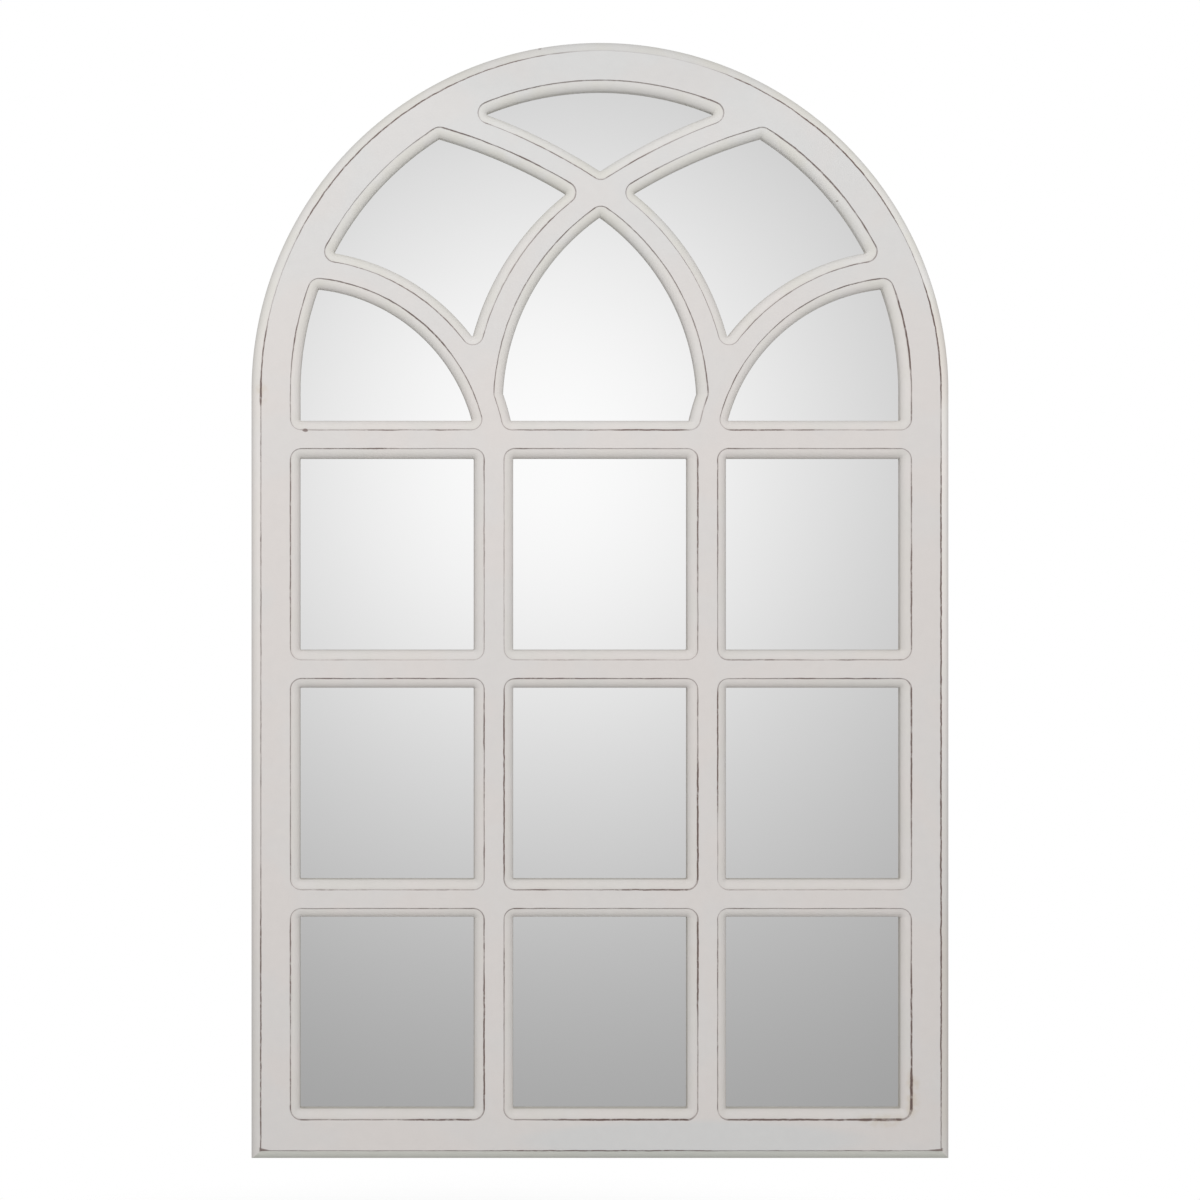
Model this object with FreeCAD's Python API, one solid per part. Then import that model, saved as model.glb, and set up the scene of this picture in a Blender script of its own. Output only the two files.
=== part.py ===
import FreeCAD, Part
import math
import os

from FreeCAD import Vector

# An arched window mirror: a lattice routed from one board, a thin rim behind it, and one sheet
# of mirror glass held in the rim by a packing card and a screwed back board.
# Millimetres. +X is right, -Y is the front, +Z is up. Heights in the code are counted from the
# bottom edge, and depths from the wall. The origin is on the wall, midway between its two hooks.

# Whole mirror
overall_width = 700.0
overall_height = 1120.0
edge_border = 39.2
bottom_border = 40.5

# Front lattice: one board with three columns and three rows under the tracery
lattice_thickness = 12.0
column_count = 3
row_count = 3
mullion_flat = 19.5
rail_flat = 18.2
tracery_sill_below_spring = 39.5

# Tracery: two bars that cross on the middle line, and one bar on each side
main_bar_flat = 19.0
main_bar_radius = 250.9
crossing_above_spring = 198.5
upper_bar_flat = 17.3
upper_bar_radius = 540.0
upper_bar_slope = 34.3
side_bar_flat = 17.9
side_bar_radius = 198.5
side_bar_centre_below_spring = 75.9

# Moulding round each pane and round the outer edge: a small step, a ledge, a quarter round
round_over_radius = 9.5
ledge_width = 0.5
step_depth = 1.2
opening_corner_radius = 1.0

# Rim glued behind the lattice
rim_thickness = 6.0
rim_width = 38.0

# Glass, packing card and back board
glass_thickness = 3.0
glass_side_gap = 2.0
back_board_thickness = 3.0
back_board_inset = 8.0

# Back board screws
board_screw_radius = 1.5
board_screw_length = 8.5
board_screw_head_radius = 3.0
board_screw_head_height = 1.7
stile_screws = 3
lowest_stile_screw = 75.0
top_stile_screw_below_strap = 59.0
rail_screws = 1
arch_screws = 5
screw_hole_gap = 0.1
screw_tip_length = 2.5
screw_head_bevel = 0.9

# Hangers: a strap with a rolled eye, and a D ring that swings in it
eye_below_spring = 20.0
strap_width = 14.0
strap_thickness = 1.0
strap_below_eye = 46.0
strap_corner_radius = 5.0
eye_turn = 285.0
ring_wire_radius = 1.5
ring_gap = 0.3
ring_inner_width = 20.0
ring_leg = 6.0
ring_corner_radius = 2.5

# Hanger screws
hanger_screw_radius = 1.75
hanger_screw_length = 16.0
hanger_screw_head_radius = 3.5
hanger_screw_head_height = 2.0
upper_hanger_screw_below_eye = 26.5
hanger_screw_pitch = 13.0

# Wall bumpers
bumper_radius = 9.0
bumper_thickness = 6.0
bumper_bevel = 1.0
bumper_inset = 30.0

# Depths, counted from the wall at 0 towards the front
board_back = -bumper_thickness
rim_back = board_back - back_board_thickness
lattice_back = rim_back - rim_thickness
lattice_front = lattice_back - lattice_thickness
card_thickness = rim_thickness - glass_thickness

# Heights and places
half_width = overall_width / 2
spring_height = overall_height - half_width
sill_height = spring_height - tracery_sill_below_spring
column_width = (overall_width - 2 * edge_border - (column_count - 1) * mullion_flat) / column_count
row_height = (sill_height - bottom_border - row_count * rail_flat) / row_count
mullion_place = column_width / 2 + mullion_flat / 2
crossing_height = spring_height + crossing_above_spring
moulding_width = round_over_radius + ledge_width
eye_height = spring_height - eye_below_spring
strap_foot = eye_height - strap_below_eye
top_stile_screw = strap_foot - top_stile_screw_below_strap
screw_line_inset = (back_board_inset + rim_width) / 2
screw_line = half_width - screw_line_inset
eye_inner_radius = ring_wire_radius + ring_gap
eye_outer_radius = eye_inner_radius + strap_thickness
eye_depth = board_back + eye_outer_radius
ring_half_width = ring_inner_width / 2 + ring_wire_radius
hook_height = eye_height + ring_leg + ring_inner_width / 2
toward_back = Vector(0, 1, 0)
# Two places closer than this count as one
same_place = 1e-4


def point(x, z, y=0.0):
    return Vector(x, y, z)


def plate(face, back, thickness):
    """A flat face at depth 0 made into a plate whose back is at the given depth."""
    return face.translated(Vector(0, back - thickness, 0)).extrude(toward_back * thickness)


def arched_face(inset, bottom):
    """The outline of the mirror, drawn in from its sides and arch, standing on a given height."""
    reach = half_width - inset
    left_foot = point(-reach, bottom)
    right_foot = point(reach, bottom)
    left_spring = point(-reach, spring_height)
    right_spring = point(reach, spring_height)
    crown = point(0, spring_height + reach)
    edges = [
        Part.LineSegment(left_foot, right_foot).toShape(),
        Part.LineSegment(right_foot, right_spring).toShape(),
        Part.Arc(right_spring, crown, left_spring).toShape(),
        Part.LineSegment(left_spring, left_foot).toShape(),
    ]
    return Part.Face(Part.Wire(edges))


def rectangle(left, bottom, right, top):
    corners = [point(left, bottom), point(right, bottom), point(right, top), point(left, top)]
    return Part.Face(Part.makePolygon(corners + corners[:1]))


def disc(centre, radius):
    circle = Part.Circle(centre, Vector(0, -1, 0), radius)
    return Part.Face(Part.Wire(circle.toShape()))


def mirrored(shape):
    return shape.mirror(Vector(0, 0, 0), Vector(1, 0, 0))


def rounded_opening(pocket):
    """The hole through the board for a pane, set in from the line of its moulding."""
    sharp = pocket.makeOffset2D(-(moulding_width + opening_corner_radius), 2)
    return sharp.makeOffset2D(opening_corner_radius, 0)


def window_rows():
    """The pockets of the straight rows of panes, sharp at the corners."""
    pockets = []
    for row in range(row_count):
        bottom = bottom_border + row * (row_height + rail_flat)
        for column in range(column_count):
            left = -half_width + edge_border + column * (column_width + mullion_flat)
            pockets.append(rectangle(left, bottom, left + column_width, bottom + row_height))
    return pockets


def main_bar_centre():
    """The centre of the left main bar, which rises from the mullion's outer side to the crossing."""
    foot = point(-mullion_place - mullion_flat / 2, spring_height)
    crossing = point(0, crossing_height)
    chord = crossing - foot
    middle = (foot + crossing) * 0.5
    to_centre = Vector(chord.z, 0, -chord.x).normalize()
    return middle + to_centre * math.sqrt(main_bar_radius**2 - (chord.Length / 2) ** 2)


def upper_bar_centre():
    """The centre of the bar that leaves the crossing up to the left, at its slope."""
    slope = math.radians(upper_bar_slope)
    down_left = Vector(-math.sin(slope), 0, -math.cos(slope))
    return point(0, crossing_height) + down_left * upper_bar_radius


def side_bar_centre():
    """The centre of the left side bar, which carries on from the left mullion."""
    rise = side_bar_centre_below_spring - tracery_sill_below_spring
    run = math.sqrt(side_bar_radius**2 - rise**2)
    return point(-mullion_place - run, spring_height - side_bar_centre_below_spring)


def tracery():
    """The pockets of the six panes in the arch: eye, two kites, lancet and two fins."""
    arch = arched_face(edge_border, sill_height)
    left_half = rectangle(-half_width, 0, 0, overall_height)
    main_centre = main_bar_centre()
    upper_centre = upper_bar_centre()
    side_centre = side_bar_centre()
    side_outside = disc(side_centre, side_bar_radius + side_bar_flat / 2)
    main_inside = disc(main_centre, main_bar_radius - main_bar_flat / 2)
    main_outside = disc(main_centre, main_bar_radius + main_bar_flat / 2)
    above_crossing = disc(upper_centre, upper_bar_radius + upper_bar_flat / 2)

    fin = arch.common(disc(side_centre, side_bar_radius - side_bar_flat / 2))
    kite = arch.common(left_half).common(disc(upper_centre, upper_bar_radius - upper_bar_flat / 2))
    kite = kite.cut(main_outside).cut(side_outside)
    lancet = arch.common(main_inside).common(mirrored(main_inside))
    lancet = lancet.cut(side_outside).cut(mirrored(side_outside))
    eye = arch.cut(above_crossing).cut(mirrored(above_crossing))
    pockets = [eye, kite, mirrored(kite), lancet, fin, mirrored(fin)]
    return [pocket.removeSplitter().Faces[0] for pocket in pockets]


def edges_at_depth(solid, depth):
    """The edges that lie in one plane parallel to the wall."""
    found = []
    for edge in solid.Edges:
        box = edge.BoundBox
        if abs(box.YMin - depth) < same_place and abs(box.YMax - depth) < same_place:
            found.append(edge)
    return found


def lattice_panel():
    """The routed board: a lower layer with rounded arrises, and the flats that stand on it."""
    openings = [rounded_opening(pocket) for pocket in window_rows() + tracery()]
    step = lattice_front + step_depth
    lower = plate(arched_face(0, 0).cut(Part.Compound(openings)), lattice_back, lattice_back - step)
    lower = lower.Solids[0]
    lower = lower.makeFillet(round_over_radius, edges_at_depth(lower, step))
    flats = arched_face(moulding_width, moulding_width)
    flats = flats.cut(Part.Compound([gap.makeOffset2D(moulding_width, 0) for gap in openings]))
    board = lower.fuse(plate(flats, step, step_depth))
    board = board.cut(Part.Compound(hanger_screw_holes()))
    return board.removeSplitter().Solids[0]


def rim_pieces():
    """The rim: two stiles, a bottom rail between them, and the arch in equal pieces."""
    ring = arched_face(0, 0).cut(arched_face(rim_width, rim_width))
    inner = half_width - rim_width
    reach = overall_width
    pieces = {
        "rim_left_stile": ring.common(rectangle(-half_width, 0, -inner, spring_height)),
        "rim_right_stile": ring.common(rectangle(inner, 0, half_width, spring_height)),
        "rim_bottom_rail": ring.common(rectangle(-inner, 0, inner, rim_width)),
    }
    arch_names = ["rim_arch_right", "rim_arch_crown", "rim_arch_left"]
    span = math.pi / len(arch_names)
    for index, name in enumerate(arch_names):
        middle = point(0, spring_height)
        start = index * span
        along_start = point(math.cos(start), math.sin(start)) * reach
        along_end = point(math.cos(start + span), math.sin(start + span)) * reach
        outside = along_start + along_end
        sector = [middle, middle + along_start, middle + outside, middle + along_end, middle]
        pieces[name] = ring.common(Part.Face(Part.makePolygon(sector)))
    holes = Part.Compound(board_screw_holes() + hanger_screw_holes())
    return {name: plate(face, rim_back, rim_thickness).cut(holes) for name, face in pieces.items()}


def glass_outline():
    """The sheet stands on the bottom rail, with a gap to the rim at its sides and arch."""
    return arched_face(rim_width + glass_side_gap, rim_width)


def mirror_glass():
    return plate(glass_outline(), rim_back - card_thickness, glass_thickness)


def packing_card():
    return plate(glass_outline(), rim_back, card_thickness)


def back_board():
    board = plate(arched_face(back_board_inset, back_board_inset), board_back, back_board_thickness)
    return board.cut(Part.Compound(board_screw_holes() + hanger_screw_holes()))


def board_screw_places():
    """Screws up both stiles, along the bottom rail and round the arch, on one line in the rim."""
    places = []
    for step in range(stile_screws):
        share = step / (stile_screws - 1)
        height = lowest_stile_screw + share * (top_stile_screw - lowest_stile_screw)
        places += [point(-screw_line, height), point(screw_line, height)]
    for step in range(rail_screws):
        share = (step + 1) / (rail_screws + 1)
        places.append(point(screw_line * (2 * share - 1), screw_line_inset))
    for step in range(arch_screws):
        angle = math.pi * (step + 0.5) / arch_screws
        places.append(point(screw_line * math.cos(angle), spring_height + screw_line * math.sin(angle)))
    return places


def hanger_screw_places(side):
    upper = eye_height - upper_hanger_screw_below_eye
    return [point(side * screw_line, upper), point(side * screw_line, upper - hanger_screw_pitch)]


def hole(place, mouth, radius, length):
    """A round hole that starts at the mouth and runs towards the front."""
    start = Vector(place.x, mouth, place.z)
    return Part.makeCylinder(radius, length, start, toward_back * -1)


def board_screw_holes():
    radius = board_screw_radius + screw_hole_gap
    length = board_screw_length + screw_hole_gap
    return [hole(place, board_back, radius, length) for place in board_screw_places()]


def hanger_screw_holes():
    mouth = board_back + strap_thickness
    radius = hanger_screw_radius + screw_hole_gap
    length = hanger_screw_length + screw_hole_gap
    places = hanger_screw_places(-1) + hanger_screw_places(1)
    return [hole(place, mouth, radius, length) for place in places]


def screw(place, seat, radius, length, head_radius, head_height):
    """A pan head screw, turned about its axis, with its head's underside on the seat."""
    outline = [
        Vector(0, -length, 0),
        Vector(radius, screw_tip_length - length, 0),
        Vector(radius, 0, 0),
        Vector(head_radius, 0, 0),
        Vector(head_radius, head_height - screw_head_bevel, 0),
        Vector(head_radius - screw_head_bevel, head_height, 0),
        Vector(0, head_height, 0),
        Vector(0, -length, 0),
    ]
    profile = Part.Face(Part.makePolygon(outline))
    turned = profile.revolve(Vector(0, 0, 0), toward_back, 360)
    return turned.translated(Vector(place.x, seat, place.z))


def back_board_screws():
    screws = []
    for place in board_screw_places():
        screws.append(
            screw(
                place,
                board_back,
                board_screw_radius,
                board_screw_length,
                board_screw_head_radius,
                board_screw_head_height,
            )
        )
    return Part.Compound(screws)


def hanger_screws(side):
    screws = []
    for place in hanger_screw_places(side):
        screws.append(
            screw(
                place,
                board_back + strap_thickness,
                hanger_screw_radius,
                hanger_screw_length,
                hanger_screw_head_radius,
                hanger_screw_head_height,
            )
        )
    return Part.Compound(screws)


def around_eye(radius, degrees):
    """A point round the ring's bar, in side view, counted from the side that lies on the board."""
    turn = math.radians(degrees)
    depth = eye_depth - radius * math.cos(turn)
    return Vector(0, depth, eye_height + radius * math.sin(turn))


def hanger_strap(side):
    """A flat strap on the back board whose upper end is rolled round the ring's bar."""
    front_foot = Vector(0, board_back, strap_foot)
    back_foot = Vector(0, board_back + strap_thickness, strap_foot)
    outer = Part.Arc(
        around_eye(eye_outer_radius, 0),
        around_eye(eye_outer_radius, eye_turn / 2),
        around_eye(eye_outer_radius, eye_turn),
    )
    inner = Part.Arc(
        around_eye(eye_inner_radius, eye_turn),
        around_eye(eye_inner_radius, eye_turn / 2),
        around_eye(eye_inner_radius, 0),
    )
    outline = [
        Part.LineSegment(front_foot, around_eye(eye_outer_radius, 0)),
        outer,
        Part.LineSegment(around_eye(eye_outer_radius, eye_turn), around_eye(eye_inner_radius, eye_turn)),
        inner,
        Part.LineSegment(around_eye(eye_inner_radius, 0), back_foot),
        Part.LineSegment(back_foot, front_foot),
    ]
    profile = Part.Face(Part.Wire([line.toShape() for line in outline]))
    strap = profile.translated(Vector(side * screw_line - strap_width / 2, 0, 0))
    strap = strap.extrude(Vector(strap_width, 0, 0))
    foot_corners = []
    for edge in strap.Edges:
        box = edge.BoundBox
        at_foot = box.ZMax - strap_foot < same_place
        if at_foot and box.XLength < same_place and box.YLength > same_place:
            foot_corners.append(edge)
    strap = strap.makeFillet(strap_corner_radius, foot_corners)
    return strap.cut(Part.Compound(hanger_screw_holes()))


def hanger_ring(side):
    """A D ring of round wire that hangs down from the eye, its bow at the bottom."""
    x = side * screw_line
    bar = ring_half_width - ring_corner_radius
    corner = ring_corner_radius * (1 - math.sqrt(0.5))
    leg_bottom = -ring_leg

    def at(across, down):
        return Vector(x + across, eye_depth, eye_height + down)

    path = [
        Part.LineSegment(at(0, 0), at(bar, 0)),
        Part.Arc(
            at(bar, 0),
            at(ring_half_width - corner, -corner),
            at(ring_half_width, -ring_corner_radius),
        ),
        Part.LineSegment(at(ring_half_width, -ring_corner_radius), at(ring_half_width, leg_bottom)),
        Part.Arc(
            at(ring_half_width, leg_bottom),
            at(0, leg_bottom - ring_half_width),
            at(-ring_half_width, leg_bottom),
        ),
        Part.LineSegment(at(-ring_half_width, leg_bottom), at(-ring_half_width, -ring_corner_radius)),
        Part.Arc(
            at(-ring_half_width, -ring_corner_radius),
            at(-ring_half_width + corner, -corner),
            at(-bar, 0),
        ),
        Part.LineSegment(at(-bar, 0), at(0, 0)),
    ]
    wire = Part.Wire([line.toShape() for line in path])
    section = Part.Wire(Part.Circle(at(0, 0), Vector(1, 0, 0), ring_wire_radius).toShape())
    return wire.makePipeShell([section], True, False)


def bumper(side):
    """A round stick-on pad that keeps the foot of the mirror off the wall."""
    centre = Vector(side * (half_width - bumper_inset), board_back, bumper_inset)
    pad = Part.makeCylinder(bumper_radius, bumper_thickness, centre, toward_back)
    return pad.makeChamfer(bumper_bevel, edges_at_depth(pad, 0.0))


def build():
    """Every piece of the mirror by name, with heights counted from the bottom edge."""
    pieces = {
        "lattice_panel": lattice_panel(),
        "mirror_glass": mirror_glass(),
        "packing_card": packing_card(),
        "back_board": back_board(),
        "back_board_screws": back_board_screws(),
    }
    pieces.update(rim_pieces())
    for name, side in (("left", -1), ("right", 1)):
        pieces["hanger_strap_" + name] = hanger_strap(side)
        pieces["hanger_ring_" + name] = hanger_ring(side)
        pieces["hanger_screws_" + name] = hanger_screws(side)
        pieces["bumper_" + name] = bumper(side)
    return pieces


os.makedirs("parts", exist_ok=True)
for name, piece in build().items():
    placed = piece.translated(Vector(0, 0, -hook_height))
    placed.exportStep("parts/" + name + ".step")
    print(name, "solids", len(placed.Solids), "valid", placed.isValid(), "volume", round(placed.Volume))
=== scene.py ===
import math

import bpy
import numpy as np
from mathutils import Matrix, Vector
from mathutils.geometry import delaunay_2d_cdt


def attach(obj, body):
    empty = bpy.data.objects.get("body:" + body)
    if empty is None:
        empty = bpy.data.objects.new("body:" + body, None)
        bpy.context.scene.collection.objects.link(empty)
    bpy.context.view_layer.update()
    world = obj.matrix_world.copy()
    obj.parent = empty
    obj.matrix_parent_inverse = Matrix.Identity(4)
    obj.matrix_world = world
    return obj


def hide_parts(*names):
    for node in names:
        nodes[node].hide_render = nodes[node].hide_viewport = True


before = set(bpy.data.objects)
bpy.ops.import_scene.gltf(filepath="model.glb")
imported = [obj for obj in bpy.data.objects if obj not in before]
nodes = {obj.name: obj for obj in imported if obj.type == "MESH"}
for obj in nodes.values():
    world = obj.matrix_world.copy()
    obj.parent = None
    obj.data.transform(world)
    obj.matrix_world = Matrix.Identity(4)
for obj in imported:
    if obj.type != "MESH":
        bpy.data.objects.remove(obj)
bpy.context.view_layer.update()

# Lengths here are millimetres, heights are counted from the bottom edge and depths from the wall.
# The frame's origin is on the wall, midway between the two wall hooks.
hooksAboveFoot = 766.0
springHeight = 770.0


def toFrame(across, depth, height):
    # millimetres from the foot become metres from the hooks, and the front is towards -Y
    across, depth, height = np.broadcast_arrays(across, depth, height)
    return np.stack([across, -depth, height - hooksAboveFoot], axis=-1) * 0.001


# shader maths

class Link:
    # one output of a node; arithmetic on it adds Math nodes
    def __init__(self, sheet, socket):
        self.sheet = sheet
        self.socket = socket

    def maths(self, operation, *others):
        return self.sheet.add("ShaderNodeMath", {"operation": operation}, [self, *others])

    def __add__(self, other):
        return self.maths("ADD", other)

    def __sub__(self, other):
        return self.maths("SUBTRACT", other)

    def __mul__(self, other):
        return self.maths("MULTIPLY", other)

    def __truediv__(self, other):
        return self.maths("DIVIDE", other)

    def __rsub__(self, other):
        return self.sheet.add("ShaderNodeMath", {"operation": "SUBTRACT"}, [other, self])

    def __rtruediv__(self, other):
        return self.sheet.add("ShaderNodeMath", {"operation": "DIVIDE"}, [other, self])

    __radd__ = __add__
    __rmul__ = __mul__

    def ramp(self, start, end):
        # 0 up to the start, 1 from the end on, and an S curve between them
        settings = {"interpolation_type": "SMOOTHSTEP"}
        sockets = {"Value": self, "From Min": start, "From Max": end}
        return self.sheet.add("ShaderNodeMapRange", settings, sockets)


class Sheet:
    # one node tree that is being filled
    def __init__(self, tree):
        tree.nodes.clear()
        self.tree = tree

    def pick(self, sockets, key):
        if isinstance(key, int):
            return sockets[key]
        return next(socket for socket in sockets if key in (socket.identifier, socket.name))

    def add(self, kind, settings=None, sockets=None, out=0):
        node = self.tree.nodes.new(kind)
        for name, value in (settings or {}).items():
            setattr(node, name, value)
        pairs = enumerate(sockets) if isinstance(sockets, list) else (sockets or {}).items()
        for key, value in pairs:
            socket = self.pick(node.inputs, key)
            if isinstance(value, Link):
                self.tree.links.new(value.socket, socket)
            elif socket.type == "RGBA" and len(value) == 3:
                socket.default_value = (*value, 1.0)
            else:
                socket.default_value = value
        if len(node.outputs):
            return Link(self, self.pick(node.outputs, out))

    def blend(self, share, first, second):
        sockets = {"Factor_Float": share, "A_Color": first, "B_Color": second}
        return self.add("ShaderNodeMix", {"data_type": "RGBA"}, sockets, "Result_Color")

    def scaled(self, vector, factor):
        return self.add("ShaderNodeVectorMath", {"operation": "SCALE"}, {"Vector": vector, "Scale": factor})

    def stretched(self, vector, factors):
        return self.add("ShaderNodeVectorMath", {"operation": "MULTIPLY"}, [vector, factors])

    def shifted(self, vector, step):
        return self.add("ShaderNodeVectorMath", {"operation": "ADD"}, [vector, step])

    def gap(self, vector, place):
        return self.add("ShaderNodeVectorMath", {"operation": "DISTANCE"}, [vector, place], "Value")

    def noise(self, place, size, detail=2.0, roughness=0.5):
        # soft noise with blobs of about the given number of millimetres
        sockets = {"Vector": place, "Scale": 1.0 / size, "Detail": detail, "Roughness": roughness}
        return self.add("ShaderNodeTexNoise", None, sockets)

    def attribute(self, name):
        return self.add("ShaderNodeAttribute", {"attribute_name": name}, None, "Fac")

    def axes(self, vector):
        return [self.add("ShaderNodeSeparateXYZ", None, {"Vector": vector}, axis) for axis in range(3)]


def startMaterial(name):
    material = bpy.data.materials.new(name)
    material.use_nodes = True
    sheet = Sheet(material.node_tree)
    local = sheet.add("ShaderNodeTexCoord", None, None, "Object")
    return material, sheet, sheet.scaled(local, 1000.0)


def finishMaterial(sheet, colour, roughness, height, **fixed):
    # the height is in millimetres, and None leaves the surface flat
    sockets = {"Base Color": colour, "Roughness": roughness}
    if height is not None:
        sockets["Normal"] = sheet.add("ShaderNodeBump", None, {"Height": height, "Distance": 0.001})
    sockets.update({name.replace("_", " "): value for name, value in fixed.items()})
    shader = sheet.add("ShaderNodeBsdfPrincipled", None, sockets)
    sheet.add("ShaderNodeOutputMaterial", None, {"Surface": shader})


# camera, lamps, surroundings and floor, in metres

view = {"place": (-0.241, -2.167, -0.1654), "lens": 64.2, "sensor": 36.0, "shift": (0.2, -0.0333)}
lamps = {
    "frontLamp": {"place": (-0.25, -2.0, 0.65), "size": 1.4, "power": 26.2},
    "backLamp": {"place": (0.9, 2.0, 0.9), "size": 1.4, "power": 18.0},
}
lampAim = (0.0, 0.0, -0.2)
# what lights the paint, and what the glass mirrors: a soft glow in front of it, whiter far to the sides
glow = {
    "level": 0.46,
    "strength": 0.893,
    "middle": (0.0856, 0.0514),
    "reach": (0.2084, 0.2115),
    "foot": 0.134,
    "rise": 0.022,
    "riseOver": (-0.227, -0.119),
    "sides": 0.95,
    "sidesOver": (0.33, 0.85),
}
paleFloor = {"height": -1.35, "colour": (0.76, 0.76, 0.75), "radius": 2.2, "corners": 64, "fade": (0.8, 2.0)}


def placeCamera():
    camera = bpy.data.objects.new("camera", bpy.data.cameras.new("camera"))
    camera.data.lens = view["lens"]
    camera.data.sensor_width = view["sensor"]
    camera.data.shift_x, camera.data.shift_y = view["shift"]
    camera.location = view["place"]
    camera.rotation_euler = (math.radians(90), 0, 0)
    scene = bpy.context.scene
    scene.collection.objects.link(camera)
    scene.camera = camera
    scene.view_settings.view_transform = "Standard"


def hangLamps():
    for name, facts in lamps.items():
        lamp = bpy.data.objects.new(name, bpy.data.lights.new(name, "AREA"))
        lamp.data.size = facts["size"]
        lamp.data.energy = facts["power"]
        lamp.location = facts["place"]
        lamp.rotation_euler = (Vector(lampAim) - lamp.location).to_track_quat("-Z", "Y").to_euler()
        lamp.visible_glossy = False
        bpy.context.scene.collection.objects.link(lamp)


def makeSurroundings():
    world = bpy.data.worlds.new("studio")
    bpy.context.scene.world = world
    world.use_nodes = True
    sheet = Sheet(world.node_tree)
    across, _, up = sheet.axes(sheet.add("ShaderNodeTexCoord", None, None, "Generated"))
    # glow = strength divided by one plus the squared distance from its middle
    aside = (across - glow["middle"][0]) / glow["reach"][0]
    above = (up - glow["middle"][1]) / glow["reach"][1]
    bright = glow["strength"] / (1 + aside * aside + above * above)
    seen = bright + glow["foot"] + up.ramp(*glow["riseOver"]) * glow["rise"]
    away = (across * across + up * up).maths("SQRT").ramp(*glow["sidesOver"])
    seen = seen * (1 - away) + away * glow["sides"]
    # white behind the object, the glow in mirrors, and an even level for everything else
    isCamera, isThrough, isGlossy = [
        sheet.add("ShaderNodeLightPath", None, None, ray)
        for ray in ("Is Camera Ray", "Is Transmission Ray", "Is Glossy Ray")
    ]
    white = isCamera.maths("MAXIMUM", isThrough)
    strength = white + (1 - white) * (isGlossy * seen + (1 - isGlossy) * glow["level"])
    background = sheet.add("ShaderNodeBackground", None, {"Color": (1.0, 1.0, 1.0), "Strength": strength})
    sheet.add("ShaderNodeOutputWorld", None, {"Surface": background})


def layFloor():
    # a flat disc that fades into the white round its edge
    radius, height = paleFloor["radius"], paleFloor["height"]
    turns = np.linspace(0, 2 * math.pi, paleFloor["corners"], endpoint=False)
    rim = np.stack([radius * np.cos(turns), radius * np.sin(turns), np.full(len(turns), height)], axis=-1)
    mesh = bpy.data.meshes.new("floor")
    mesh.from_pydata(rim.tolist(), [], [list(range(len(rim)))])
    floor = bpy.data.objects.new("floor", mesh)
    bpy.context.scene.collection.objects.link(floor)
    material = bpy.data.materials.new("paleFloor")
    material.use_nodes = True
    sheet = Sheet(material.node_tree)
    local = sheet.add("ShaderNodeTexCoord", None, None, "Object")
    outwards = sheet.gap(local, (0.0, 0.0, height)).ramp(*paleFloor["fade"])
    plain = sheet.add("ShaderNodeBsdfDiffuse", None, {"Color": paleFloor["colour"]})
    clear = sheet.add("ShaderNodeBsdfTransparent")
    faded = sheet.add("ShaderNodeMixShader", None, {0: outwards, 1: plain, 2: clear})
    sheet.add("ShaderNodeOutputMaterial", None, {"Surface": faded})
    mesh.materials.append(material)


placeCamera()
hangLamps()
makeSurroundings()
layFloor()
print("studio ready")

# outlines of the panes

panes = {
    "halfWidth": 350.0,
    "border": 39.2,
    "bottomBorder": 40.5,
    "mullion": 19.5,
    "rail": 18.2,
    "sill": 730.5,
    "mainBar": (133.9, 756.3, 250.9, 19.0),
    "upperBar": (-304.3, 522.4, 540.0, 17.3),
    "sideBar": (-301.97, 694.1, 198.5, 17.9),
    "inset": 11.0,
    "straightStep": 9.0,
    "curveStep": 3.0,
    "cornerSteps": 7,
    "mitreClear": 14.0,
}


def offSide(side, places):
    # how far places lie outside one side of a pane, and the direction in which that grows
    kind, *numbers = side
    x, z = places[..., 0], places[..., 1]
    if kind == "straight":
        away = np.broadcast_to(np.array(numbers[:2], float), places.shape)
        return x * numbers[0] + z * numbers[1] - numbers[2], away
    if kind == "arch":
        # straight up to the spring line, and a half circle above it
        rise = np.maximum(z - springHeight, 0.0)
        radius = np.hypot(x, rise)
        return radius - numbers[0], np.stack([x, rise], axis=-1) / radius[..., None]
    fromCentre = places - np.array(numbers[:2])
    radius = np.hypot(fromCentre[..., 0], fromCentre[..., 1])
    sign = 1.0 if kind == "within" else -1.0
    return sign * (radius - numbers[2]), sign * fromCentre / radius[..., None]


def meeting(first, second, guess):
    # two distances are brought to minus the inset together, by Newton's steps from a rough corner
    place = np.array(guess, float)
    for _ in range(15):
        missOne, wayOne = offSide(first, place)
        missTwo, wayTwo = offSide(second, place)
        misses = np.array([missOne + panes["inset"], missTwo + panes["inset"]])
        place = place - np.linalg.solve(np.stack([wayOne, wayTwo]), misses)
    return place


def spaced(length, step):
    return np.linspace(0.0, 1.0, max(2, int(np.ceil(length / step)) + 1))


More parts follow.
